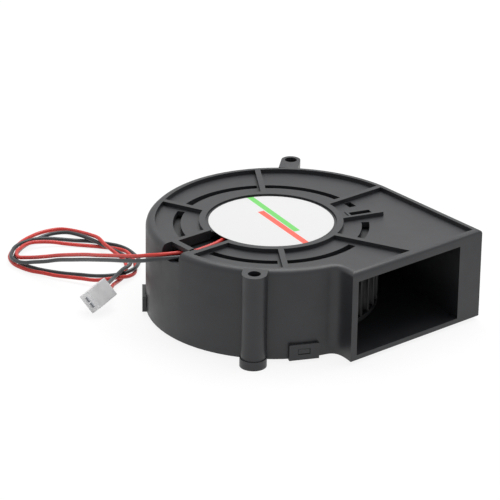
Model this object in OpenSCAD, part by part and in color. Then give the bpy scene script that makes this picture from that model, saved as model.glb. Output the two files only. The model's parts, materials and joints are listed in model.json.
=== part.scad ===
// Radial blower with a 12 V brushless motor: scroll casing, clipped-on inlet cover,
// forward-curved impeller and a two-wire lead with a plug.
// Millimetres. The origin lies on the impeller axis, in the plane that the blower stands on.
// +Z is the label side, +X the way the air leaves, +Y the side of the straight wall.

/* [Casing] */
// Height from the cover's underside to the top of the rim
body_h = 33; // [30:0.1:40]
// Impeller axis to the outlet plane
outlet_reach = 52.45; // [50:0.05:64]
// Gap between the impeller and the scroll where it starts
scroll_gap = 3.9; // [3:0.1:8]
// Growth of the scroll's radius for each degree of turn
scroll_growth = 0.069; // [0.05:0.001:0.09]
// Thickness of the casing's side wall
wall_t = 2; // [1.2:0.1:2.5]
// Thickness of the recessed top plate
plate_t = 2; // [1.2:0.1:2.5]
// Depth of the recess between the rim and the ribs
rim_h = 1.5; // [0.8:0.1:2]
// Width of the flat top of the rim
rim_w = 1.2; // [0.8:0.1:3]
// Rounding of the top edge along the straight wall
edge_r_back = 0.9; // [0.5:0.1:1.5]
// Rounding of the top edge along the side where the wires leave
edge_r_front = 2.2; // [1:0.1:2.8]
// Width of the ribs on the top plate
rib_w = 2; // [1:0.1:3]

/* [Outlet] */
// Impeller axis to the outer corner of the outlet on the tongue's side
outlet_left = 8.4; // [6:0.1:12]
// Wall beside the opening on the tongue's side
outlet_wall = 2.7; // [2:0.1:4]
// Width of the outlet opening
outlet_w = 46.9; // [36:0.1:50]
// Thickness of the flange beyond the duct's far wall
flange_t = 2.5; // [2:0.1:4]

/* [Mounting lugs] */
// Radius of the screw holes
lug_hole_r = 2.2; // [1.6:0.1:2.6]
// Radius of the column beside the tongue
lug_front_r = 4.3; // [3.8:0.1:6]
// Radius of the column on the far side
lug_rear_r = 3.5; // [3.4:0.1:5]
// Screw hole to the scroll's outside, column beside the tongue
lug_front_out = 2.5; // [2:0.1:8]
// Screw hole to the scroll's outside, column on the far side
lug_rear_out = 6.9; // [4:0.1:10]
// Height by which the cover's ears stand proud of its underside
ear_h = 1.2; // [0.6:0.1:2]

/* [Cover] */
// Thickness of the cover plate
cover_t = 2; // [1.5:0.1:3]
// Radius of the inlet's throat
inlet_r = 30.5; // [25:0.1:31]
// Rounding of the inlet's mouth
inlet_lip_r = 2.5; // [1.5:0.1:3]
// Thickness of the collar around the throat
collar_t = 1.2; // [0.8:0.1:1.3]
// Width of a snap loop
snap_w = 10.6; // [8:0.1:14]
// Height of a snap loop above the cover's underside
snap_h = 5.8; // [5:0.1:8]
// Thickness of a snap loop
snap_t = 1.1; // [0.8:0.1:1.6]

/* [Boss and label] */
// Raised boss over the motor, beyond the radius of the rotor's hub
boss_margin = 3.6; // [3:0.1:4.5]
// Border of the boss around the label's recess
label_border = 2.3; // [1.5:0.1:4]
// Depth of the label's recess
label_seat_h = 0.7; // [0.4:0.1:0.9]
// Gap between the label and the edge of its recess
label_gap = 1; // [0.3:0.1:3]
// Thickness of the label
label_t = 0.2; // [0.1:0.05:0.3]

/* [Impeller] */
// Outer radius of the impeller
impeller_r = 38; // [31:0.1:46]
// Number of blades
blade_count = 45; // [30:1:60]
// Radial depth of the blades
blade_depth = 6; // [4:0.1:6.5]
// Thickness of a blade
blade_t = 0.8; // [0.6:0.05:1.2]
// Thickness of the impeller's disc
disc_t = 1.4; // [1:0.1:2]
// Gap between the impeller and the top plate
top_gap = 0.7; // [0.4:0.1:1.5]
// Gap between the impeller and the cover plate
cover_gap = 2.5; // [2:0.1:4]
// Wall of the plastic hub around the rotor cup
hub_wall = 1.3; // [1:0.1:2]

/* [Motor] */
// Radius of the stator
stator_r = 16.6; // [13.8:0.1:16.8]
// Height of the lamination stack
stack_h = 10; // [8:0.1:12]
// Air gap between stator and magnet
air_gap = 0.5; // [0.3:0.05:0.8]
// Thickness of the magnet ring
magnet_t = 2.2; // [1.5:0.1:2.4]
// Thickness of the steel rotor cup
yoke_t = 1; // [0.8:0.1:1.2]
// Radius of the shaft
shaft_r = 1.5; // [1.2:0.05:2]
// Outer radius of the bearings
bearing_r = 4; // [3.6:0.05:4.8]
// Width of a bearing
bearing_w = 3; // [2.5:0.1:4]
// Wall of the brass bearing tube
tube_t = 1; // [0.8:0.1:1.3]

/* [Leads] */
// Outer diameter of one wire
wire_d = 1.4; // [1:0.1:1.6]

/* [Hidden] */
$fn = 96;
eps = 0.01;
snug = 0.04;
ball_play = 0.03;

// Levels, from the floor up
z_cover = ear_h;
z_seam = z_cover + cover_t;
z_top = z_cover + body_h;
z_plate = z_top - rim_h;
z_roof = z_plate - plate_t;
z_seat = z_top - label_seat_h;
base_t = 2;
z_base = z_seat - base_t;
z_imp_top = z_roof - top_gap;
z_imp_bot = z_seam + cover_gap;

// Radii of the motor, from the stator outwards
magnet_in = stator_r + air_gap;
magnet_out = magnet_in + magnet_t;
yoke_in = magnet_out + snug;
yoke_out = yoke_in + yoke_t;
hub_in = yoke_out + snug;
hub_r = hub_in + hub_wall;
boss_r = hub_r + boss_margin;
label_seat_r = boss_r - label_border;
label_r = label_seat_r - label_gap;

// Scroll: a constant radius from the tongue, then a spiral up to the straight wall
scroll_r = impeller_r + scroll_gap + wall_t;
growth_start = 203;
growth_blend = 20;
spiral_end = 88;
tongue_a = 346;
spiral_step = 4.1;
function scroll_outer(a) = scroll_r + scroll_growth * (
    a > growth_start + growth_blend ? 0 :
    a < growth_start - growth_blend ? growth_start - a :
    pow(growth_start + growth_blend - a, 2) / (4 * growth_blend));
function polar(r, a) = r * [cos(a), sin(a)];
function bezier(p, t) = pow(1 - t, 3) * p[0] + 3 * pow(1 - t, 2) * t * p[1]
    + 3 * (1 - t) * t * t * p[2] + t * t * t * p[3];
wall_reach = scroll_outer(spiral_end) * sin(spiral_end);
duct_left = outlet_left - outlet_wall;
duct_right = outlet_w - duct_left;

// The outside of the casing in plan, anticlockwise from the outlet's corner at the tongue
tongue_start = polar(scroll_r, tongue_a);
tongue_curve = [tongue_start, tongue_start + polar(3, tongue_a + 90),
    [tongue_start.x + 2.6, 1.6 - outlet_left], [outlet_reach, -outlet_left]];
outline = concat([[outlet_reach, -outlet_left], [outlet_reach, wall_reach]],
    [for (a = [spiral_end:spiral_step:tongue_a - spiral_step / 2]) polar(scroll_outer(a), a)],
    [for (t = [0:0.125:0.9]) bezier(tongue_curve, t)]);

// Inner faces: the scroll, and a duct wall that leads the air to the opening
duct_curve = [polar(scroll_outer(spiral_end) - wall_t, spiral_end),
    [0.34 * outlet_reach, wall_reach - wall_t], [0.68 * outlet_reach, duct_right + 3.3],
    [outlet_reach + 1, duct_right]];
tip_a = 360 - asin(duct_left / (scroll_r - wall_t));
airway = concat([[outlet_reach + 1, -duct_left]],
    [for (t = [1:-0.1:0]) bezier(duct_curve, t)],
    [for (a = [spiral_end + spiral_step:spiral_step:tip_a - 2]) polar(scroll_outer(a) - wall_t, a)],
    [polar(scroll_r - wall_t, tip_a)]);
pocket = concat([for (t = [0.55:0.07:0.93]) bezier(duct_curve, t) + [0, wall_t + 0.3]],
    [[outlet_reach - flange_t, duct_right + wall_t + 1], [outlet_reach - flange_t, wall_reach - wall_t]]);

// Moves each point of a closed outline inwards, by a number or by one number a point
function unit(v) = v / norm(v);
function out_normal(p, i) = let (d = unit(p[(i + 1) % len(p)] - p[i])) [d.y, -d.x];
function inset(p, d) = [for (i = [0:len(p) - 1])
    let (n1 = out_normal(p, (i + len(p) - 1) % len(p)), n2 = out_normal(p, i))
    p[i] - (is_list(d) ? d[i] : d) * (n1 + n2) / (1 + n1 * n2)];
function at_z(p, z) = [for (i = [0:len(p) - 1]) [p[i].x, p[i].y, is_list(z) ? z[i] : z]];
edge_r = [for (p = outline) edge_r_back
    + (edge_r_front - edge_r_back) * (1 - cos(atan2(p.y, p.x) - 100)) / 2];
rim_inner = inset(outline, [for (r = edge_r) r + rim_w]);

// Screw holes
lug_rear_a = 132.3;
lug_front_a = -47.3;
lug_rear = polar(scroll_outer(lug_rear_a) + lug_rear_out, lug_rear_a);
lug_front = polar(scroll_r + lug_front_out, lug_front_a);

// Ribs on the top plate: direction, distance to its left, inner and outer end
rib_root = boss_r - 1;
ribs = [[90, -1.15, rib_root, 60], [146, 0, rib_root, 60], [201.8, 3.8, rib_root, 60],
    [326, 0.5, rib_root, 60], [24.2, -1.1, rib_root, 60]];
pad_a = 72.6;
pad_rib = [pad_a, -7.2, rib_root - 1, impeller_r + 1.6];
pad_rib_w = 1.2;
pad_h = 0.3;
pad_hole = [7.8, 4];

// Slots in the top plate, as pairs of angles between the ribs
slot_out = impeller_r - 3.6;
slot_in = slot_out - 2.7;
pad_hole_at = [slot_out - 1.6, -3.6];
slots = [[90.5, 143.5], [148.5, 203], [213, 255.5], [281.5, 323.5],
    [328.5, 377.3], [387.4, 414], [438.5, 445.5]];

// Wire channel: an opening with a rib on each side and a strap across its outer end
channel_x = [-6, 4.3];
channel_in = 14.5;
channel_wall = 1.8;
strap_y = [scroll_r - 7.1, scroll_r - 4.7];
strap_t = 1.5;
slit_x = [2.6, 3.5];
notch_x = [-6.7, 2.9];
notch_z = z_top - 4.5;

// Motor, from the label side down
tube_out = bearing_r + tube_t;
tube_top = z_seat - 0.9;
upper_z = tube_top - 0.6 - bearing_w;
board_t = 1;
board_r = stator_r + 2.4;
board_z = z_base - 0.9 - board_t;
sleeve_t = 1.8;
sleeve_z = board_z - 1;
insulator_t = 0.8;
winding_h = 2.4;
fence_h = 2.6;
stack_top = board_z - insulator_t - fence_h;
stack_z = stack_top - stack_h;
lower_z = stack_z - 1.4;
tube_z = lower_z - 0.4;
cup_floor = tube_z - 2.9;
cup_rim = board_z - 0.7;
hub_floor_t = 1.5;
hub_z = cup_floor - yoke_t - snug - hub_floor_t;
arm_w = 5;
arms = 4;
shoe_half_a = 38;

// Bearings
race_in = shaft_r + 0.9;
race_out = bearing_r - 0.7;
ball_pitch = (race_in + race_out) / 2;
ball_r = (race_out - race_in) / 2 + 0.28;
balls = 7;

// Leads: from the board through the channel, down to the floor, round twice and to the plug.
// The route's points hold for the standard casing; routed() moves them with a larger one.
plug_size = [9.8, 7.4, 5.7];
plug_turn = [-48.5, 11.5, -76];
wire_pitch = 2.5;
wire_play = 0.25;
standard_r = 43.9;
standard_top = 34.2;
standard_plug = [-36.5, -48.3];
function ramp(v, v0, v1) = min(1, max(0, (v - v0) / (v1 - v0)));
function routed(p) = [p.x - (scroll_r - standard_r) * ramp(p.x, -9, -49),
    p.y - (scroll_r - standard_r) * ramp(p.y, -15.6, -39.6),
    p.z + (z_top - standard_top) * ramp(p.z, 8, 31)];
plug_z = (plug_size.x * abs(sin(plug_turn.y)) + cos(plug_turn.y)
    * (plug_size.y * abs(sin(plug_turn.x)) + plug_size.z * abs(cos(plug_turn.x)))) / 2;
plug_at = routed([standard_plug.x, standard_plug.y, plug_z]);
function spin(v, a, i) = let (j = (i + 1) % 3, k = (i + 2) % 3)
    [for (n = [0:2]) n == i ? v[i] : n == j ? cos(a) * v[j] - sin(a) * v[k] : sin(a) * v[j] + cos(a) * v[k]];
function plug_point(v) = plug_at + spin(spin(spin(v, plug_turn.x, 0), plug_turn.y, 1), plug_turn.z, 2);
wire_end = -1.8;
red_points = [[-1, -15.5, 31.7], [-1, -18, 32.1], [0, -22, 32.5], [1, -26, 32.5], [1, -31, 32.2],
    [0, -35.5, 31.7], [-2.5, -39.5, 31.5], [-5.5, -44.5, 31.2], [-9.5, -47, 30.2], [-14.5, -48, 28.4],
    [-21.5, -48, 26], [-29.5, -47.5, 23.2], [-38, -47, 20.2], [-47, -46, 17], [-55.5, -45.5, 13.8],
    [-63.5, -45.5, 10.8], [-70.5, -46, 8], [-76.5, -46.5, 5.7], [-81.5, -47, 4], [-85, -47.5, 3],
    [-88, -46.5, 2.6], [-90.5, -44.5, 2.6], [-92, -42, 2.6], [-93.5, -39, 2.5], [-94, -35.5, 2.4],
    [-93, -32, 2.1], [-91, -28, 1.6], [-88.5, -25, 1.1], [-85, -21.5, 0.8], [-81.5, -18.5, 0.8],
    [-78.5, -16, 0.8], [-75, -14, 1], [-71.5, -12.5, 1.3], [-67.5, -12, 1.6], [-63.5, -13, 1.6],
    [-59.5, -14.5, 1.4], [-55.5, -17, 1.2], [-51.5, -20.5, 1.1], [-49.5, -25, 1.7], [-49, -29.5, 2.8],
    [-50.5, -33.5, 2.7], [-53.5, -37, 2.2], [-58, -39.5, 1.9], [-62.5, -42, 1.6], [-67, -44.5, 1.3],
    [-72, -46.5, 1.1], [-76.5, -48.5, 0.9], [-81.5, -49.5, 0.8], [-86, -49.5, 0.8], [-91, -47.5, 0.8],
    [-94.5, -44, 1], [-97.5, -39.5, 1], [-100, -35, 0.9], [-101.5, -30.5, 0.8], [-102, -26, 0.9],
    [-101, -22, 1.2], [-99, -18.5, 1.5], [-95, -16.5, 1.9], [-90, -15.5, 2.5], [-84.5, -15.5, 3.4],
    [-79, -16, 4.2], [-74, -17, 3.8], [-70, -17, 3], [-66, -17, 2.3], [-63, -17, 1.7], [-60, -18, 1.2],
    [-57, -20, 1], [-54.5, -22.5, 0.9], [-51.5, -26, 0.8], [-48.5, -31, 1.4], [-43.5, -36.5, 3.6]];
black_points = [[1.5, -15.5, 31.7], [1.5, -18, 32.1], [2, -22, 32.2], [3, -26, 31.7], [3, -31, 31.5],
    [2, -36, 31], [-0.5, -40.5, 30.9], [-4, -45, 30.4], [-8, -48, 29.2], [-13, -49, 27.4],
    [-20, -49, 25], [-28.5, -48.5, 22.1], [-37.5, -48, 18.9], [-46, -47, 15.7], [-54.5, -46.5, 12.5],
    [-62.5, -46.5, 9.6], [-69, -47.5, 7], [-75, -48.5, 4.9], [-79.5, -49.5, 3.4], [-84, -50, 2.7],
    [-88, -49, 2.6], [-91, -46.5, 2.6], [-94, -43, 2.6], [-95.5, -39, 2.6], [-96, -34.5, 2.4],
    [-96, -30.5, 1.9], [-94.5, -26.5, 1.4], [-92, -23, 1], [-88.5, -19.5, 0.8], [-85, -16, 0.8],
    [-81.5, -13.5, 0.8], [-78, -12, 1], [-74, -10.5, 1.2], [-69.5, -10, 1.3], [-64, -11, 1.5],
    [-58.5, -13, 1.9], [-54.5, -16.5, 2.4], [-51.5, -20.5, 2.9], [-51, -24.5, 2.7], [-52, -28, 2.4],
    [-54.5, -31.5, 2], [-58, -34.5, 1.6], [-62, -37, 1.3], [-66.5, -40, 1], [-70.5, -42.5, 0.9],
    [-75, -45, 0.9], [-79, -46.5, 0.9], [-83.5, -47.5, 0.8], [-87, -47, 0.8], [-90.5, -45.5, 0.8],
    [-93, -42.5, 0.9], [-95.5, -38.5, 0.8], [-97, -34.5, 0.8], [-98, -30, 0.9], [-98, -26, 1.3],
    [-96.5, -22.5, 1.8], [-93.5, -19.5, 2.3], [-89, -18, 2.6], [-84.5, -17, 2.6], [-80, -16.5, 2.6],
    [-76, -16, 2.3], [-72.5, -15.5, 2.1], [-68.5, -15, 1.9], [-64.5, -15, 1.8], [-60, -16, 2],
    [-56.5, -18.5, 2.5], [-53.5, -22, 3.4], [-51, -26, 4.4], [-48.5, -30.5, 4.5], [-46, -34.5, 4.8],
    [-42.5, -39, 5.8]];
function lead(points, side) = concat([for (p = points) routed(p)],
    [for (x = [-plug_size.x / 2, wire_end]) plug_point([x, side * wire_pitch / 2, 0])]);
red_route = lead(red_points, 1);
black_route = lead(black_points, -1);

// Smooth line through the route's points, cut into short steps
function spline(p, i, t) = let (
    a = p[max(i - 1, 0)], b = p[i], c = p[i + 1], d = p[min(i + 2, len(p) - 1)])
    0.5 * (2 * b + (c - a) * t + (2 * a - 5 * b + 4 * c - d) * t * t
    + (3 * b - a - 3 * c + d) * t * t * t);
function smooth(p, count) = [for (k = [0:count])
    let (u = k * (len(p) - 1) / count, i = min(floor(u), len(p) - 2)) spline(p, i, u - i)];
wire_rings = 78;

module tube(path, r, sides) {
    n = len(path);
    rings = [for (i = [0:n - 1])
        let (d = unit(path[min(i + 1, n - 1)] - path[max(i - 1, 0)]),
            u = unit(cross([0, 0, 1], d)), v = cross(d, u))
        for (k = [0:sides - 1])
            path[i] + r * (cos(360 * k / sides) * u + sin(360 * k / sides) * v)];
    walls = [for (i = [0:n - 2], k = [0:sides - 1])
        let (a = i * sides + k, b = i * sides + (k + 1) % sides)
        each [[a, a + sides, b + sides], [a, b + sides, b]]];
    polyhedron(rings, concat(walls, [[for (k = [0:sides - 1]) k]],
        [[for (k = [sides - 1:-1:0]) (n - 1) * sides + k]]), convexity = 10);
}

// A closed skin over rings of points that share one count, lowest ring first
module skin(rings) {
    n = len(rings[0]);
    walls = [for (k = [0:len(rings) - 2], i = [0:n - 1])
        let (a = k * n + i, b = k * n + (i + 1) % n)
        each [[a, a + n, b + n], [a, b + n, b]]];
    polyhedron([for (r = rings) each r], concat(walls, [[for (i = [0:n - 1]) i]],
        [[for (i = [n - 1:-1:0]) (len(rings) - 1) * n + i]]), convexity = 10);
}

// Cuts a skin flat at its two ends
module planed(z0, z1) difference() {
    children();
    slab(z0 - 5, z0) square(300, center = true);
    slab(z1, z1 + 5) square(300, center = true);
}

module slab(z0, z1) translate([0, 0, z0]) linear_extrude(z1 - z0) children();

module pipe(r_out, r_in, z0, z1) slab(z0, z1) difference() {
    circle(r_out);
    circle(r_in);
}

module sector(r_in, r_out, a0, a1, z0, z1)
    rotate([0, 0, a0]) rotate_extrude(angle = a1 - a0)
        translate([r_in, z0]) square([r_out - r_in, z1 - z0]);

module bar(rib, w) rotate(rib[0]) translate([rib[2], rib[1] - w / 2])
    square([rib[3] - rib[2], w]);

// Casing -----------------------------------------------------------------

module casing_body() planed(z_seam, z_top) skin(concat(
    [at_z(outline, z_seam - 1)],
    [for (f = [0, 30, 60, 90]) at_z(
        inset(outline, [for (r = edge_r) r * (1 - cos(f))]),
        [for (r = edge_r) z_top - r * (1 - sin(f))])],
    [at_z(inset(outline, edge_r), z_top + 1)]));

// Web between a column and the scroll
module lug_web(at, r, w) {
    a = atan2(at.y, at.x);
    rotate(a) translate([norm(at) - w[0], -w[1] / 2]) square([w[0], w[1]]);
}

module lug_columns() {
    slab(z_seam, z_top) {
        translate(lug_front) circle(lug_front_r);
        translate(lug_rear) circle(lug_rear_r);
        lug_web(lug_front, lug_front_r, [4, 2 * lug_front_r]);
        lug_web(lug_rear, lug_rear_r, [lug_rear_out + 1, 2 * lug_rear_r]);
    }
}

module top_ribs() {
    for (rib = ribs) bar(rib, rib_w);
    bar(pad_rib, pad_rib_w);
    circle(boss_r);
    translate([channel_x[0] - channel_wall, 1 - scroll_r])
        square([channel_x[1] - channel_x[0] + 2 * channel_wall, scroll_r - 1]);
}

module top_recess() {
    difference() {
        slab(z_plate, z_top + 1) polygon(rim_inner);
        slab(z_plate - 1, z_top + 2) top_ribs();
        slab(z_plate - 1, z_plate + pad_h) rotate(pad_a)
            translate([slot_out - 6.4, pad_rib[1]]) square([12, 7]);
    }
}

module channel_cut() {
    x0 = channel_x[0];
    w = channel_x[1] - x0;
    difference() {
        slab(z_roof - 1, z_top + 1) translate([x0, -strap_y[0]]) square([w, strap_y[0] - channel_in]);
        slab(z_seat, z_top + 2) circle(label_seat_r - eps);
    }
    translate([slit_x[0], -strap_y[1] - eps, notch_z])
        cube([slit_x[1] - slit_x[0], strap_y[1] - strap_y[0] + 2 * eps, 20]);
    difference() {
        translate([notch_x[0], -scroll_r - 3, notch_z])
            cube([notch_x[1] - notch_x[0], scroll_r + 3 - strap_y[0] + eps, 20]);
        translate([notch_x[0] - 1, -strap_y[1], z_top - strap_t])
            cube([20, strap_y[1] - strap_y[0] + 1, 20]);
    }
}

// Snap loops: their directions, and a frame on the casing's wall that leans with the spiral
snaps = [334.8, 232, 166, 107];
snap_play = 0.1;
snap_window = [4.3, 2.1];
snap_sill = 2;
function lean(a) = -atan((scroll_outer(a + 1) - scroll_outer(a - 1)) * 90 / PI / scroll_outer(a));
module at_wall(a) rotate(a) translate([scroll_outer(a), 0]) rotate(lean(a)) children();

module snap_catch(a) at_wall(a) translate([-0.5, -2, z_cover + snap_sill + 0.2])
    cube([0.4 + snap_t, 4, 1.7]);

module housing() color("#3a3c40") {
    difference() {
        union() {
            casing_body();
            lug_columns();
            for (a = snaps) snap_catch(a);
        }
        slab(z_seam - 1, z_roof) polygon(airway);
        slab(z_seam - 1, z_roof) polygon(pocket);
        slab(z_roof - 1, z_base) circle(hub_r + 1.4);
        top_recess();
        slab(z_seat, z_top + 1) circle(label_seat_r);
        for (s = slots) sector(slot_in, slot_out, s[0], s[1], z_roof - 1, z_top + 1);
        slab(z_roof - 1, z_top + 1) rotate(pad_a) translate([pad_hole_at.x, pad_hole_at.y])
            square(pad_hole, center = true);
        channel_cut();
        translate([lug_front.x, lug_front.y, z_seam - 1]) cylinder(r = lug_hole_r, h = body_h + 2);
        translate([lug_rear.x, lug_rear.y, z_seam - 1]) cylinder(r = lug_hole_r, h = body_h + 2);
        slab(z_base - 1, tube_top) circle(tube_out + snug);
        slab(z_base - 1, z_top) circle(bearing_r - 0.4);
    }
    pipe(tube_out + sleeve_t, tube_out + snug, sleeve_z, z_base + eps);
}

// Cover ------------------------------------------------------------------

cover_edge = 0.3;

module snap_loop(a) difference() {
    at_wall(a) difference() {
        translate([-1.2, -snap_w / 2, z_cover]) cube([1.2 + snap_t + snap_play, snap_w, snap_h]);
        translate([-3, -snap_window[0] / 2, z_cover + snap_sill]) cube([10, snap_window[0], snap_window[1]]);
    }
    slab(z_seam - 0.05, z_top) polygon(inset(outline, -snap_play));
}

module inlet_mouth() {
    collar = inlet_r + collar_t;
    mouth = inlet_r + inlet_lip_r;
    lip_z = z_imp_bot - 0.5;
    rotate_extrude() difference() {
        union() {
            translate([inlet_r, z_cover]) square([collar_t, lip_z - z_cover]);
            translate([inlet_r, 0]) square([inlet_lip_r + 2, z_cover + cover_t]);
        }
        translate([0, -1]) square([mouth, 1 + z_cover]);
        translate([mouth, z_cover]) mirror([1, 0]) difference() {
            translate([0, -1]) square([inlet_lip_r, inlet_lip_r + 1]);
            translate([0, inlet_lip_r]) circle(inlet_lip_r);
        }
    }
}

module inlet_cover() color("#303236") difference() {
    union() {
        difference() {
            planed(z_cover, z_seam) skin([at_z(inset(outline, cover_edge), z_cover - 1),
                at_z(inset(outline, cover_edge), z_cover), at_z(outline, z_cover + cover_edge),
                at_z(outline, z_seam + 1)]);
            slab(-1, z_seam + 1) circle(inlet_r + inlet_lip_r + 1);
        }
        inlet_mouth();
        slab(0, z_seam) {
            translate(lug_front) circle(lug_front_r + 0.4);
            translate(lug_rear) circle(lug_rear_r + 0.4);
        }
        slab(z_cover, z_seam) {
            lug_web(lug_front, lug_front_r, [4, 2 * lug_front_r]);
            lug_web(lug_rear, lug_rear_r, [lug_rear_out + 1, 2 * lug_rear_r]);
        }
        for (a = snaps) snap_loop(a);
    }
    translate([lug_front.x, lug_front.y, -1]) cylinder(r = lug_hole_r, h = 10);
    translate([lug_rear.x, lug_rear.y, -1]) cylinder(r = lug_hole_r, h = 10);
}

module label() color("#f4f4f4") pipe_disc(label_r, z_seat, label_t);
module pipe_disc(r, z, t) slab(z, z + t) circle(r);

// Impeller ---------------------------------------------------------------

// A blade is an arc that leans forward, thickened to both sides
blade_arc_r = 4.6;
blade_in_a = 70;
blade_out_a = -35;
blade_points = 7;
function blade_line(t) = let (
    a = blade_in_a + (blade_out_a - blade_in_a) * t)
    blade_arc_r * [cos(a), sin(a)];
blade_span = norm(blade_line(1) - blade_line(0));

module blade_shape() {
    p = [for (k = [0:blade_points]) blade_line(k / blade_points)];
    turn = atan2(p[blade_points].y - p[0].y, p[blade_points].x - p[0].x);
    s = blade_depth / blade_span;
    translate([impeller_r - blade_depth, 0]) rotate(-turn) scale(s)
        translate(-p[0]) polygon(concat(
            [for (q = p) q * (1 + blade_t / s / blade_arc_r / 2)],
            [for (k = [blade_points:-1:0]) p[k] * (1 - blade_t / s / blade_arc_r / 2)]));
}

module impeller() color("#232427") {
    ring_h = 1.5;
    difference() {
        union() {
            slab(z_imp_top - disc_t, z_imp_top) circle(impeller_r);
            pipe(impeller_r, impeller_r - 1.6, z_imp_bot, z_imp_bot + ring_h);
            slab(z_imp_bot, z_imp_top - disc_t / 2)
                for (k = [0:blade_count - 1]) rotate(360 * k / blade_count)
                    intersection() {
                        blade_shape();
                        circle(impeller_r);
                    }
            slab(hub_z, z_imp_top) circle(hub_r);
        }
        slab(hub_z + hub_floor_t, z_imp_top + 1) circle(hub_in);
        slab(hub_z - 1, z_imp_top) circle(shaft_r + 1.1);
    }
}

// Motor: rotor -----------------------------------------------------------

bush_r = shaft_r + 1.5;
bush_flange = 0.9;

module rotor_yoke() color("#a8abb0") difference() {
    slab(cup_floor - yoke_t, cup_rim) circle(yoke_out);
    slab(cup_floor, cup_rim + 1) circle(yoke_in);
    slab(cup_floor - yoke_t - 1, cup_rim) circle(bush_r);
}

module magnet_ring() color("#2d2d30")
    pipe(magnet_out, magnet_in, stack_z - 1.5, stack_top + 1.5);

module rotor_bushing() color("#c9a550") difference() {
    union() {
        slab(cup_floor - yoke_t, cup_floor + bush_flange) circle(bush_r - snug);
        slab(cup_floor, cup_floor + bush_flange) circle(bush_r + 1.6);
    }
    slab(cup_floor - yoke_t - 1, cup_floor + 2) circle(shaft_r);
}

clip_z = upper_z + bearing_w + 0.1;
clip_t = 0.4;

module shaft() color("#d0d2d6") difference() {
    slab(cup_floor - yoke_t, clip_z + clip_t + 0.5) circle(shaft_r);
    pipe(shaft_r + 1, shaft_r - 0.35, clip_z, clip_z + clip_t);
}

module retaining_clip() color("#6b6e73") difference() {
    pipe(shaft_r + 1.1, shaft_r - 0.33, clip_z + 0.02, clip_z + clip_t - 0.02);
    translate([0, -0.9, clip_z - 1]) cube([6, 1.8, 3]);
}

module preload_spring() color("#b9bcc2") {
    z0 = cup_floor + bush_flange + 0.2;
    z1 = lower_z - 0.2;
    turns = 4;
    steps = 14;
    r = shaft_r + 0.48;
    tube([for (k = [0:turns * steps]) [r * cos(360 * k / steps), r * sin(360 * k / steps),
        z0 + (z1 - z0) * k / (turns * steps)]], 0.17, 6);
}

module race_groove(z) rotate_extrude() translate([ball_pitch, z + bearing_w / 2])
    circle(ball_r + ball_play, $fn = 48);

module bearing_inner(z) color("#c4c7cc") difference() {
    pipe(race_in, shaft_r + 0.005, z, z + bearing_w);
    race_groove(z);
}

module bearing_outer(z) color("#c4c7cc") difference() {
    pipe(bearing_r, race_out, z, z + bearing_w);
    race_groove(z);
}

module bearing_balls(z) color("#e2e4e8") for (k = [0:balls - 1]) rotate(360 * k / balls)
    translate([ball_pitch, 0, z + bearing_w / 2]) sphere(ball_r, $fn = 32);

// Motor: stator ----------------------------------------------------------

module bearing_tube() color("#c8a24c") difference() {
    slab(tube_z, tube_top) circle(tube_out);
    slab(lower_z + bearing_w, upper_z) circle(bearing_r - 0.6);
    slab(tube_z - 1, lower_z + bearing_w + eps) circle(bearing_r + 0.005);
    slab(upper_z - eps, tube_top + 1) circle(bearing_r + 0.005);
}

module core_shape(grow) {
    difference() {
        union() {
            circle(tube_out + 3 + grow);
            for (k = [0:arms - 1]) rotate(360 * k / arms)
                translate([0, -arm_w / 2 - grow]) square([stator_r - 1, arm_w + 2 * grow]);
            difference() {
                circle(stator_r);
                circle(stator_r - 2);
                for (k = [0:arms - 1]) rotate(360 * (k + 0.5) / arms)
                    polygon([[0, 0], 30 * [cos(45 - shoe_half_a), sin(45 - shoe_half_a)],
                        30 * [cos(45 - shoe_half_a), -sin(45 - shoe_half_a)]]);
            }
        }
        circle(tube_out + snug);
    }
}

module stator_core() color("#7d8187") slab(stack_z, stack_top) core_shape(0);

module insulator(z, up) color("#d9d4c4") {
    slab(z, z + insulator_t) difference() {
        core_shape(0);
        circle(tube_out + sleeve_t + 0.35);
    }
    slab(up ? z : z - fence_h, up ? z + insulator_t + fence_h : z + eps) {
        difference() {
            circle(tube_out + 2.9);
            circle(tube_out + sleeve_t + 0.35);
        }
        intersection() {
            core_shape(0);
            difference() {
                circle(stator_r - 0.9);
                circle(stator_r - 1.9);
            }
        }
    }
}

module insulator_upper() insulator(stack_top, true);
module insulator_lower() insulator(stack_z - insulator_t, false);

coil_in = tube_out + 3.3;
coil_side = 2;
coil_out = sqrt(pow(stator_r - 2.1, 2) - pow(arm_w / 2 + 0.1 + coil_side, 2));

module coil(k) color("#b5651d") rotate([0, 0, 360 * k / arms]) translate([coil_in, 0, 0])
    rotate([90, 0, 90]) linear_extrude(coil_out - coil_in) difference() {
        translate([-arm_w / 2 - 0.1 - coil_side, stack_z - insulator_t - winding_h])
            square([arm_w + 0.2 + 2 * coil_side, stack_h + 2 * (insulator_t + winding_h)]);
        translate([-arm_w / 2 - 0.1, stack_z - insulator_t - 0.05])
            square([arm_w + 0.2, stack_h + 2 * insulator_t + 0.1]);
    }

module coil_1() coil(0);
module coil_2() coil(1);
module coil_3() coil(2);
module coil_4() coil(3);

module circuit_board() color("#2f7d4f") difference() {
    slab(board_z, board_z + board_t) circle(board_r);
    slab(board_z - 1, board_z + 3) circle(tube_out + sleeve_t + 0.3);
}

module driver_chip() color("#1c1c1e") translate([8.2, 4, board_z + board_t]) cube([5, 4, 0.7]);

module hall_sensor() color("#1c1c1e") rotate([0, 0, 180 / arms])
    translate([stator_r - 2, -1.5, board_z - 1.1]) cube([1.6, 3, 1.1]);

module chip_capacitors() color("#b08d57") for (a = [115, 150, 195])
    rotate([0, 0, a]) translate([11, -0.8, board_z + board_t]) cube([2, 1.6, 0.7]);

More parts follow.
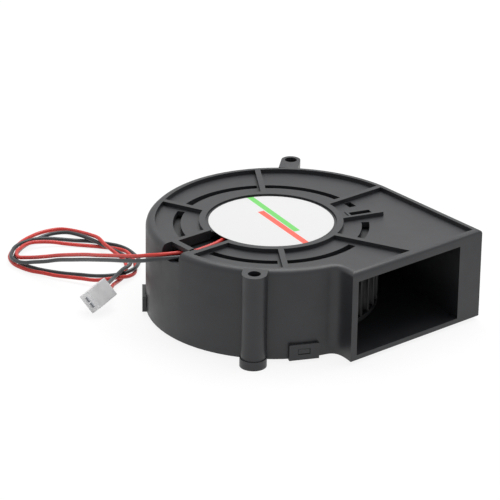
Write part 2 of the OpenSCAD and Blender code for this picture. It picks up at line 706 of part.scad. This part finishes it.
module solder_joints() color("#c9ccd1") for (x = [red_route[0].x, black_route[0].x])
    translate([x, red_route[0].y, board_z + board_t]) cylinder(r1 = 1.1, r2 = 0.8, h = 0.35);

// Leads ------------------------------------------------------------------

module wire_red() color("#d8403a") tube(smooth(red_route, wire_rings), wire_d / 2, 8);
module wire_black() color("#33383a") tube(smooth(black_route, wire_rings), wire_d / 2, 8);

module at_plug() translate(plug_at) rotate(plug_turn) children();
module plug_hole(x0, x1, w) for (s = [-1, 1])
    translate([x0, (s * wire_pitch - w) / 2, -w / 2]) cube([x1 - x0, w, w]);

module connector_housing() color("#f0f0ec") at_plug() difference() {
    cube(plug_size, center = true);
    plug_hole(-plug_size.x, plug_size.x, wire_d + 2 * wire_play);
}

module connector_terminals() color("#d5d7da") at_plug()
    plug_hole(wire_end + 0.1, plug_size.x / 2 - 0.6, wire_d + 2 * wire_play - 0.1);

// Assembly ---------------------------------------------------------------

housing();
inlet_cover();
label();
bearing_tube();
stator_core();
insulator_upper();
insulator_lower();
coil_1();
coil_2();
coil_3();
coil_4();
circuit_board();
driver_chip();
hall_sensor();
chip_capacitors();
solder_joints();
bearing_outer(upper_z);  // upper_bearing_outer
bearing_balls(upper_z);  // upper_bearing_balls
bearing_outer(lower_z);  // lower_bearing_outer
bearing_balls(lower_z);  // lower_bearing_balls
impeller();
rotor_yoke();
magnet_ring();
rotor_bushing();
shaft();
bearing_inner(upper_z);  // upper_bearing_inner
bearing_inner(lower_z);  // lower_bearing_inner
preload_spring();
retaining_clip();
wire_red();
wire_black();
connector_housing();
connector_terminals();
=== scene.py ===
import json
import math

import bmesh
import bpy
from mathutils import Matrix, Vector


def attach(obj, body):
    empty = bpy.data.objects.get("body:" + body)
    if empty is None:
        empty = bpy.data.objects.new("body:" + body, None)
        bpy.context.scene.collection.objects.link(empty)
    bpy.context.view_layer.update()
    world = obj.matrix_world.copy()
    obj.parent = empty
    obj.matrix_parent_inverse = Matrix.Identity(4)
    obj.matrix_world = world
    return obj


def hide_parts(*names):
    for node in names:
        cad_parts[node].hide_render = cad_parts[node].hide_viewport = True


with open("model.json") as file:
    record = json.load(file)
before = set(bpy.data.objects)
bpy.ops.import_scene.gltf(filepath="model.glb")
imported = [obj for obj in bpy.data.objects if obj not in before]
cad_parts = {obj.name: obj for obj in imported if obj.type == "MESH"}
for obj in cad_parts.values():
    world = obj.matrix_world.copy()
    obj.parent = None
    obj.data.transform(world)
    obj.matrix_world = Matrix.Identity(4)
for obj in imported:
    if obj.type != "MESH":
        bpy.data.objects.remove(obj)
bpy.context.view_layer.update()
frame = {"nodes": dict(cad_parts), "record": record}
nodes = frame["nodes"]
MM = 0.001
# Edges that turn by more than this stay sharp, and are broken by a small bevel
EDGE_ANGLE = math.radians(32)


def collection_add(ob):
    bpy.context.scene.collection.objects.link(ob)
    return ob


# Camera -------------------------------------------------------------------

camera = bpy.data.cameras.new("camera")
camera.sensor_width = 36
camera.lens = 219.96
camera.clip_end = 10
eye = collection_add(bpy.data.objects.new("camera", camera))
right = Vector((0.64172156, 0.76683168, 0.01275211))
up = Vector((-0.31979065, 0.25242929, 0.91324334))
back = Vector((0.69708492, -0.59012594, 0.40721492))
eye.matrix_world = Matrix.Translation((0.74291059, -0.63844737, 0.45914785)) @ Matrix(
    (right, up, back)).transposed().to_4x4()
bpy.context.scene.camera = eye

# Cord: two wires side by side, from the board through the channel to the plug -----------

RED_POINTS = [
    (-1, -15.5, 31.7), (-1, -18, 32.1), (0, -22, 32.5), (1, -26, 32.5), (1, -31, 32.2),
    (0, -35.5, 31.7), (-2.5, -39.5, 31.5), (-5.5, -44.5, 31.2), (-9.5, -47, 30.2),
    (-14.5, -48, 28.4), (-21.5, -48, 26), (-29.5, -47.5, 23.2), (-38, -47, 20.2), (-47, -46, 17),
    (-55.5, -45.5, 13.8), (-63.5, -45.5, 10.8), (-70.5, -46, 8), (-76.5, -46.5, 5.7),
    (-81.5, -47, 4), (-85, -47.5, 3), (-88, -46.5, 2.6), (-90.5, -44.5, 2.6), (-92, -42, 2.6),
    (-93.5, -39, 2.5), (-94, -35.5, 2.4), (-93, -32, 2.1), (-91, -28, 1.6), (-88.5, -25, 1.1),
    (-85, -21.5, 0.8), (-81.5, -18.5, 0.8), (-78.5, -16, 0.8), (-75, -14, 1), (-71.5, -12.5, 1.3),
    (-67.5, -12, 1.6), (-63.5, -13, 1.6), (-59.5, -14.5, 1.4), (-55.5, -17, 1.2),
    (-51.5, -20.5, 1.1), (-49.5, -25, 1.7), (-49, -29.5, 2.8), (-50.5, -33.5, 2.7),
    (-53.5, -37, 2.2), (-58, -39.5, 1.9), (-62.5, -42, 1.6), (-67, -44.5, 1.3), (-72, -46.5, 1.1),
    (-76.5, -48.5, 0.9), (-81.5, -49.5, 0.8), (-86, -49.5, 0.8), (-91, -47.5, 0.8), (-94.5, -44, 1),
    (-97.5, -39.5, 1), (-100, -35, 0.9), (-101.5, -30.5, 0.8), (-102, -26, 0.9), (-101, -22, 1.2),
    (-99, -18.5, 1.5), (-95, -16.5, 1.9), (-90, -15.5, 2.5), (-84.5, -15.5, 3.4), (-79, -16, 4.2),
    (-74, -17, 3.8), (-70, -17, 3), (-66, -17, 2.3), (-63, -17, 1.7), (-60, -18, 1.2),
    (-57, -20, 1), (-54.5, -22.5, 0.9), (-51.5, -26, 0.8), (-48.5, -31, 1.4), (-43.5, -36.5, 3.6),
    (-36.903, -43.26, 5.602), (-36.168, -46.207, 4.984),
]
BLACK_POINTS = [
    (1.5, -15.5, 31.7), (1.5, -18, 32.1), (2, -22, 32.2), (3, -26, 31.7), (3, -31, 31.5),
    (2, -36, 31), (-0.5, -40.5, 30.9), (-4, -45, 30.4), (-8, -48, 29.2), (-13, -49, 27.4),
    (-20, -49, 25), (-28.5, -48.5, 22.1), (-37.5, -48, 18.9), (-46, -47, 15.7),
    (-54.5, -46.5, 12.5), (-62.5, -46.5, 9.6), (-69, -47.5, 7), (-75, -48.5, 4.9),
    (-79.5, -49.5, 3.4), (-84, -50, 2.7), (-88, -49, 2.6), (-91, -46.5, 2.6), (-94, -43, 2.6),
    (-95.5, -39, 2.6), (-96, -34.5, 2.4), (-96, -30.5, 1.9), (-94.5, -26.5, 1.4), (-92, -23, 1),
    (-88.5, -19.5, 0.8), (-85, -16, 0.8), (-81.5, -13.5, 0.8), (-78, -12, 1), (-74, -10.5, 1.2),
    (-69.5, -10, 1.3), (-64, -11, 1.5), (-58.5, -13, 1.9), (-54.5, -16.5, 2.4), (-51.5, -20.5, 2.9),
    (-51, -24.5, 2.7), (-52, -28, 2.4), (-54.5, -31.5, 2), (-58, -34.5, 1.6), (-62, -37, 1.3),
    (-66.5, -40, 1), (-70.5, -42.5, 0.9), (-75, -45, 0.9), (-79, -46.5, 0.9), (-83.5, -47.5, 0.8),
    (-87, -47, 0.8), (-90.5, -45.5, 0.8), (-93, -42.5, 0.9), (-95.5, -38.5, 0.8), (-97, -34.5, 0.8),
    (-98, -30, 0.9), (-98, -26, 1.3), (-96.5, -22.5, 1.8), (-93.5, -19.5, 2.3), (-89, -18, 2.6),
    (-84.5, -17, 2.6), (-80, -16.5, 2.6), (-76, -16, 2.3), (-72.5, -15.5, 2.1), (-68.5, -15, 1.9),
    (-64.5, -15, 1.8), (-60, -16, 2), (-56.5, -18.5, 2.5), (-53.5, -22, 3.4), (-51, -26, 4.4),
    (-48.5, -30.5, 4.5), (-46, -34.5, 4.8), (-42.5, -39, 5.8), (-38.42, -44.022, 7.437),
    (-37.685, -46.97, 6.819),
]
WIRE_D = 1.4
WIRE_STEPS = 640


def spline(p, i, t):
    a, b, c, d = p[max(i - 1, 0)], p[i], p[i + 1], p[min(i + 2, len(p) - 1)]
    return 0.5 * (2 * b + (c - a) * t + (2 * a - 5 * b + 4 * c - d) * t ** 2
                  + (3 * b - a - 3 * c + d) * t ** 3)


def smooth_line(points, count):
    p = [Vector(q) * MM for q in points]
    line = []
    for k in range(count + 1):
        u = k * (len(p) - 1) / count
        i = min(int(u), len(p) - 2)
        line.append(spline(p, i, u - i))
    return line


def wire(name, points, node):
    line = smooth_line(points, WIRE_STEPS)
    curve = bpy.data.curves.new(name, "CURVE")
    curve.dimensions = "3D"
    curve.bevel_depth = 1
    curve.bevel_resolution = 4
    curve.use_fill_caps = True
    run = curve.splines.new("POLY")
    run.points.add(len(line) - 1)
    for point, place in zip(run.points, line):
        point.co = (*place, 1)
        point.radius = WIRE_D / 2 * MM
    run.use_smooth = True
    ob = collection_add(bpy.data.objects.new(name, curve))
    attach(ob, "body")
    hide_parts(node)
    length = sum((b - a).length for a, b in zip(line, line[1:]))
    return ob, line, length


red_wire, red_line, red_length = wire("lead_red", RED_POINTS, "wire_red")
black_wire, black_line, black_length = wire(
    "lead_black", BLACK_POINTS, "wire_black")

# Materials ------------------------------------------------------------------


def lin(code):
    """A colour written as sRGB hex, as linear light."""
    parts = [int(code[i:i + 2], 16) / 255 for i in (1, 3, 5)]
    return (*[c / 12.92 if c <= 0.04045 else ((c + 0.055) / 1.055) ** 2.4 for c in parts], 1)


def add(tree, kind, settings=(), links=()):
    """A node with its settings and links; a number names a socket by place."""
    made = tree.nodes.new("ShaderNode" + kind)
    for key, value in dict(settings).items():
        if isinstance(key, str) and hasattr(made, key):
            setattr(made, key, value)
        else:
            made.inputs[key].default_value = value
    for key, source in dict(links).items():
        tree.links.new(source, made.inputs[key])
    return made


def finish_of(name, colour, roughness, **sockets):
    """A material with its shader, and the object's own coordinates."""
    made = bpy.data.materials.new(name)
    made.use_nodes = True
    tree = made.node_tree
    shader = tree.nodes["Principled BSDF"]
    shader.inputs["Base Color"].default_value = lin(colour)
    shader.inputs["Roughness"].default_value = roughness
    for key, value in sockets.items():
        shader.inputs[key.replace("_", " ")].default_value = value
    place = add(tree, "TexCoord").outputs["Object"]
    return made, tree, shader, place


def bumped(tree, shader, height, strength, distance):
    bump = add(tree, "Bump", {"Strength": strength, "Distance": distance * MM}, {"Height": height})
    tree.links.new(bump.outputs["Normal"], shader.inputs["Normal"])


def mottled(tree, shader, place, low, high, grain, socket="Base Color", detail=3):
    """Colour or roughness that wanders between two values over a grain in millimetres."""
    noise = add(tree, "TexNoise", {"Scale": 1000 / grain, "Detail": detail}, {"Vector": place})
    blend = add(tree, "ValToRGB", links={"Fac": noise.outputs["Fac"]})
    ends = blend.color_ramp.elements
    ends[0].position, ends[1].position = 0.3, 0.7
    ends[0].color = lin(low) if isinstance(low, str) else (low, low, low, 1)
    ends[1].color = lin(high) if isinstance(high, str) else (high, high, high, 1)
    tree.links.new(blend.outputs["Color"], shader.inputs[socket])
    return noise


def moulded_abs():
    """Black ABS from a spark-eroded mould: a fine even grain that dulls the gloss."""
    made, tree, shader, place = finish_of("moulded_black_abs", "#222326", 0.42, IOR=1.54)
    mottled(tree, shader, place, "#202124", "#26272a", 14)
    mottled(tree, shader, place, 0.4, 0.48, 6, "Roughness")
    # the grain is about 0.05 mm, drawn at 0.35 mm so that it shows
    grain = add(tree, "TexNoise", {"Scale": 1000 / 0.35, "Detail": 2}, {"Vector": place})
    bumped(tree, shader, grain.outputs["Fac"], 0.25, 0.02)
    return made


def moulded_pbt():
    """Black glass-filled PBT of the impeller: dull, with faint flow marks."""
    made, tree, shader, place = finish_of("moulded_black_pbt", "#17181a", 0.5, IOR=1.55)
    mottled(tree, shader, place, "#141517", "#1b1c1f", 9)
    grain = add(tree, "TexNoise", {"Scale": 1000 / 0.5, "Detail": 3}, {"Vector": place})
    bumped(tree, shader, grain.outputs["Fac"], 0.2, 0.02)
    return made


def band(tree, place, start, end, width):
    """1 on a printed line from start to end in plan, in millimetres, else 0."""
    along = Vector((end[0] - start[0], end[1] - start[1]))
    turn = math.atan2(along.y, along.x)
    shift = Matrix.Rotation(-turn, 2) @ Vector(start) * -MM
    local = add(tree, "Mapping", {"Rotation": (0, 0, -turn), "Location": (shift.x, shift.y, 0)},
                {"Vector": place})
    axes = add(tree, "SeparateXYZ", links={0: local.outputs["Vector"]})
    length = along.length * MM
    inside_x = add(tree, "Math", {"operation": "COMPARE", 1: length / 2, 2: length / 2},
                   {0: axes.outputs["X"]})
    inside_y = add(tree, "Math", {"operation": "COMPARE", 1: 0, 2: width / 2 * MM},
                   {0: axes.outputs["Y"]})
    both = add(tree, "Math", {"operation": "MULTIPLY"},
               {0: inside_x.outputs[0], 1: inside_y.outputs[0]})
    return both.outputs[0]


def printed_film():
    """White polyester film with two printed lines: smooth, with a faint orange peel."""
    made, tree, shader, place = finish_of("printed_polyester_film", "#dcdcdc", 0.38, IOR=1.5)
    paper = add(tree, "RGB")
    paper.outputs[0].default_value = lin("#dcdcdc")
    colour = paper.outputs[0]
    for code, start, end, width in (("#6fcf63", (-23, 8.1), (12.3, 1.4), 2.3),
                                    ("#f8604f", (-8.7, 2.5), (23, -3.05), 2.4)):
        ink = add(tree, "Mix", {"data_type": "RGBA", 7: lin(code)},
                  {0: band(tree, place, start, end, width), 6: colour})
        colour = ink.outputs[2]
    tree.links.new(colour, shader.inputs["Base Color"])
    peel = add(tree, "TexNoise", {"Scale": 1000 / 1.5, "Detail": 2}, {"Vector": place})
    bumped(tree, shader, peel.outputs["Fac"], 0.12, 0.02)
    return made


def pvc(name, code, deep):
    """Extruded PVC insulation: soft sheen, slightly wavy from lying in a bundle."""
    made, tree, shader, place = finish_of(name, code, 0.36, IOR=1.53)
    mottled(tree, shader, place, deep, code, 5)
    wave = add(tree, "TexNoise", {"Scale": 1000 / 1.2, "Detail": 2}, {"Vector": place})
    bumped(tree, shader, wave.outputs["Fac"], 0.2, 0.05)
    return made


def natural_nylon():
    """Unfilled white nylon of the plug: milky, with a soft gloss."""
    made, tree, shader, place = finish_of("natural_nylon_66", "#e9e9ea", 0.4, IOR=1.53)
    shader.inputs["Subsurface Weight"].default_value = 0.25
    shader.inputs["Subsurface Radius"].default_value = (0.6, 0.6, 0.6)
    shader.inputs["Subsurface Scale"].default_value = MM
    mottled(tree, shader, place, "#e2e2e4", "#eeeeee", 3)
    grain = add(tree, "TexNoise", {"Scale": 1000 / 0.3, "Detail": 2}, {"Vector": place})
    bumped(tree, shader, grain.outputs["Fac"], 0.15, 0.02)
    return made


def metal(name, light, dark, roughness, grain, stretch=(1, 1, 1), strength=0.2):
    """A bare metal whose finish lies along the axes that stretch shortens."""
    made, tree, shader, place = finish_of(name, light, roughness, Metallic=1.0)
    lay = add(tree, "Mapping", {"Scale": stretch}, {"Vector": place})
    noise = mottled(tree, shader, lay.outputs["Vector"], dark, light, grain)
    bumped(tree, shader, noise.outputs["Fac"], strength, 0.01)
    return made


def wave_lines(tree, place, kind, pitch):
    """Lines across Z (BANDS) or rings round it (RINGS), drawn twice as far apart as pitch."""
    wave = add(tree, "TexWave", {"wave_type": kind, kind.lower() + "_direction": "Z",
                                 "Scale": 1000 / pitch / 6.283}, {"Vector": place})
    return wave.outputs["Fac"]


def laminated_steel():
    """Stacked electrical steel: sheets of 0.5 mm that show as fine level lines."""
    made, tree, shader, place = finish_of("stacked_electrical_steel", "#8b8e93", 0.42, Metallic=1.0)
    mottled(tree, shader, place, "#74777c", "#94979c", 4)
    bumped(tree, shader, wave_lines(tree, place, "BANDS", 0.5), 0.5, 0.05)
    return made


def enamelled_copper():
    """Wound enamelled copper: a warm lacquered gloss over round turns 0.4 mm apart."""
    made, tree, shader, place = finish_of("enamelled_copper_wire", "#b5623a", 0.28, Metallic=0.9)
    mottled(tree, shader, place, "#9c4a26", "#c27046", 2)
    bumped(tree, shader, wave_lines(tree, place, "RINGS", 0.4), 0.6, 0.1)
    return made


def dull_solid(name, dark, light, roughness, grain, strength=0.2):
    """A moulded, pressed or coated solid with a fine uneven surface."""
    made, tree, shader, place = finish_of(name, light, roughness)
    noise = mottled(tree, shader, place, dark, light, grain)
    bumped(tree, shader, noise.outputs["Fac"], strength, 0.02)
    return made


black_abs = moulded_abs()
finishes = {
    "black_plastic": black_abs,
    "impeller_plastic": moulded_pbt(),
    "label_film": printed_film(),
    "brass": metal("turned_brass", "#c9a45c", "#a9843f", 0.3, 3, (1, 1, 8)),
    "electrical_steel": laminated_steel(),
    "zinc_steel": metal("zinc_plated_steel", "#b4b6ba", "#989ba1", 0.34, 2.5),
    "bearing_steel": metal("ground_bearing_steel", "#cdd0d4", "#b4b7bc", 0.16, 1.5, (1, 1, 6), 0.1),
    "spring_steel": metal("drawn_spring_steel", "#9a9da2", "#7c7f85", 0.3, 1.2),
    "ferrite": dull_solid("bonded_ferrite", "#2a2a2d", "#37373b", 0.62, 1.2),
    "nylon": dull_solid("moulded_nylon_insulator", "#cfc9b6", "#ddd8c8", 0.5, 3),
    "enamelled_copper": enamelled_copper(),
    "board_laminate": dull_solid("solder_masked_fibreglass", "#1f5c38", "#2b7347", 0.35, 1.5),
    "component_epoxy": dull_solid("moulded_epoxy", "#18181a", "#202123", 0.5, 0.8),
    "capacitor_ceramic": dull_solid("fired_ceramic", "#a3835a", "#b8976b", 0.4, 0.8),
    "solder": metal("tin_solder", "#c6c9cd", "#a7abb0", 0.25, 1),
    "red_insulation": pvc("red_pvc", "#d8362c", "#c42c24"),
    "black_insulation": pvc("black_pvc", "#2c3134", "#24282b"),
    "white_plastic": natural_nylon(),
    "tinned_contact": metal("tinned_phosphor_bronze", "#c2c4c8", "#a3a6ab", 0.3, 1),
}
slot_of = {part["node"]: part["material_slot"] for part in frame["record"]["subparts"]}
for name, part in nodes.items():
    part.data.materials.clear()
    part.data.materials.append(finishes[slot_of[name]])
red_wire.data.materials.append(finishes["red_insulation"])
black_wire.data.materials.append(finishes["black_insulation"])

# Moulded pieces with their small edge radii ---------------------------------------


def softened(name, node, body, width, segments=2):
    """The CAD node with its flats made whole, its curves smooth and its edges broken."""
    work = bmesh.new()
    work.from_mesh(nodes[node].data)
    bmesh.ops.remove_doubles(work, verts=work.verts, dist=0.002 * MM)
    bmesh.ops.dissolve_limit(work, angle_limit=math.radians(0.4), use_dissolve_boundaries=False,
                             verts=work.verts, edges=work.edges)
    for edge in work.edges:
        edge.smooth = edge.is_manifold and edge.calc_face_angle() < EDGE_ANGLE
    for face in work.faces:
        face.smooth = True
    mesh = bpy.data.meshes.new(name)
    work.to_mesh(mesh)
    work.free()
    ob = collection_add(bpy.data.objects.new(name, mesh))
    mesh.materials.append(finishes[slot_of[node]])
    if width:
        edges = ob.modifiers.new("edges", "BEVEL")
        edges.width = width * MM
        edges.segments = segments
        edges.limit_method = "ANGLE"
        edges.angle_limit = EDGE_ANGLE
        edges.harden_normals = True
    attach(ob, body)
    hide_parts(node)
    return ob


softened("scroll_casing", "housing", "body", 0.25)
softened("intake_cover", "inlet_cover", "body", 0.2)
softened("blade_wheel", "impeller", "rotor", 0)
plug = softened("plug_body", "connector_housing", "body", 0.25)

# Floor, backdrop and light ------------------------------------------------------


def seen_by_eye(tree):
    """1 for the camera and for what metal and glass mirror, else 0."""
    path = add(tree, "LightPath")
    either = add(tree, "Math", {"operation": "MAXIMUM"},
                 {0: path.outputs["Is Camera Ray"], 1: path.outputs["Is Glossy Ray"]})
    return add(tree, "Math", {"operation": "MAXIMUM"},
               {0: either.outputs[0], 1: path.outputs["Is Transmission Ray"]}).outputs[0]


paper = bpy.data.materials.new("white_paper_sweep")
paper.use_nodes = True
tree = paper.node_tree
tree.nodes.remove(tree.nodes["Principled BSDF"])
matt = add(tree, "BsdfDiffuse", {"Color": lin("#ececec")})
thin = add(tree, "BsdfDiffuse", {"Color": (0.14, 0.14, 0.14, 1)})
glow = add(tree, "Emission", {"Strength": 0.87})
lit = add(tree, "AddShader", links={0: thin.outputs[0], 1: glow.outputs[0]})
pick = add(tree, "MixShader",
           links={0: seen_by_eye(tree), 1: matt.outputs[0], 2: lit.outputs[0]})
tree.links.new(pick.outputs[0], tree.nodes["Material Output"].inputs["Surface"])

FLOOR_HALF = 1.5
FLOOR_DROP = 0.02
sheet = bmesh.new()
bmesh.ops.create_grid(sheet, x_segments=1, y_segments=1, size=FLOOR_HALF)
mesh = bpy.data.meshes.new("floor")
sheet.to_mesh(mesh)
sheet.free()
floor = collection_add(bpy.data.objects.new("floor", mesh))
floor.location.z = -FLOOR_DROP * MM
mesh.materials.append(paper)

world = bpy.data.worlds.new("studio")
bpy.context.scene.world = world
world.use_nodes = True
sky = world.node_tree
soft = sky.nodes["Background"]
soft.inputs["Color"].default_value = (1, 1, 1, 1)
soft.inputs["Strength"].default_value = 0.42
bright = add(sky, "Background", {"Strength": 1.0})
choose = add(sky, "MixShader",
             links={0: seen_by_eye(sky), 1: soft.outputs[0], 2: bright.outputs[0]})
sky.links.new(choose.outputs[0], sky.nodes["World Output"].inputs["Surface"])


def softbox(name, place, target, size, watts):
    light = bpy.data.lights.new(name, "AREA")
    light.shape = "RECTANGLE"
    light.size, light.size_y = size
    light.energy = watts
    ob = collection_add(bpy.data.objects.new(name, light))
    ob.location = place
    ob.rotation_euler = (Vector(target) - Vector(place)).to_track_quat("-Z", "Y").to_euler()
    return ob


softbox("overhead", (-0.1, 0.25, 0.8), (0, 0, 0), (0.9, 0.7), 7.15)
softbox("left", (-0.7, -0.5, 0.45), (0, 0, 0.01), (0.5, 0.5), 0.3)

bpy.context.scene.view_settings.view_transform = "Standard"
